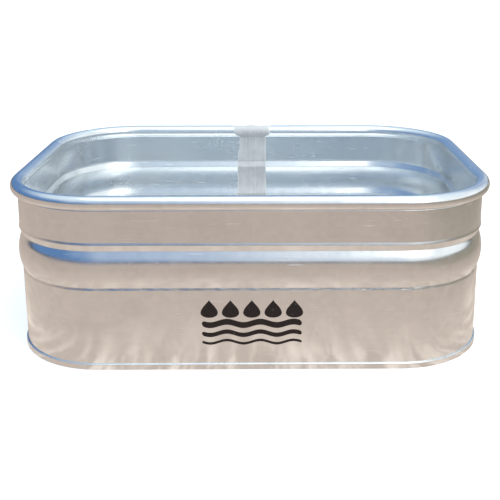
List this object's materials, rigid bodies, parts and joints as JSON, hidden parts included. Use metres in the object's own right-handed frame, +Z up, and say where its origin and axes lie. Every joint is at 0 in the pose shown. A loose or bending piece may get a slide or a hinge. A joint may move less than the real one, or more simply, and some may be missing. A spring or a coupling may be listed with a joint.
{
  "type": "livestock water trough",
  "caption": "Low rounded-rectangle galvanised stock tank: beaded sheet wall with a tube-stiffened rolled rim, double-seamed floor pan and a screw-in drain plug.",
  "frame": {"origin": "centre of the footprint, on the ground", "axes": "+X along the length towards the drain end, +Y towards the wall with the lapped seam, +Z up"},
  "size_m": [0.9138, 0.6498, 0.3291],
  "materials": {
    "galvanised_wall": "hot-dip galvanised, smooth, small spangle",
    "galvanised_floor": "hot-dip galvanised, smooth, small spangle",
    "tube_steel": "mill finish, hidden inside the rim",
    "zinc_coat": "matte zinc-rich coat, brushed on",
    "seam_compound": "set sealing compound",
    "drain_plastic": "moulded, fine texture",
    "plug_plastic": "moulded, fine texture",
    "gasket_rubber": "matte black rubber",
    "washer_steel": "zinc plated",
    "printed_ink": "screen-printed mark on the front wall, near black"
  },
  "bodies": {
    "tank": {"side_wall": "galvanised_wall", "floor_pan": "galvanised_floor", "seam_compound": "seam_compound", "rim_tube": "tube_steel", "rim_tube_sleeve": "tube_steel", "seam_coat_inner": "zinc_coat", "seam_coat_outer": "zinc_coat", "drain_fitting": "drain_plastic", "drain_gasket": "gasket_rubber", "drain_washer": "washer_steel", "drain_locknut": "drain_plastic"},
    "plug_gasket": {"drain_plug_gasket": "gasket_rubber"},
    "plug": {"drain_plug": "plug_plastic"}
  },
  "joints": [
    {"name": "plug_travel", "type": "slide", "parent": "tank", "child": "plug_gasket", "axis": [1, 0, 0], "range_m": [0, 0.0123]},
    {"name": "plug_turn", "type": "hinge", "parent": "plug_gasket", "child": "plug", "pos_m": [0.44843, 0, 0.054], "axis": [1, 0, 0], "range_deg": [0, 1980]}
  ],
  "couplings": [
    {"joint": "plug_travel", "follows": "plug_turn", "m_per_rad": 0.00035152}
  ]
}
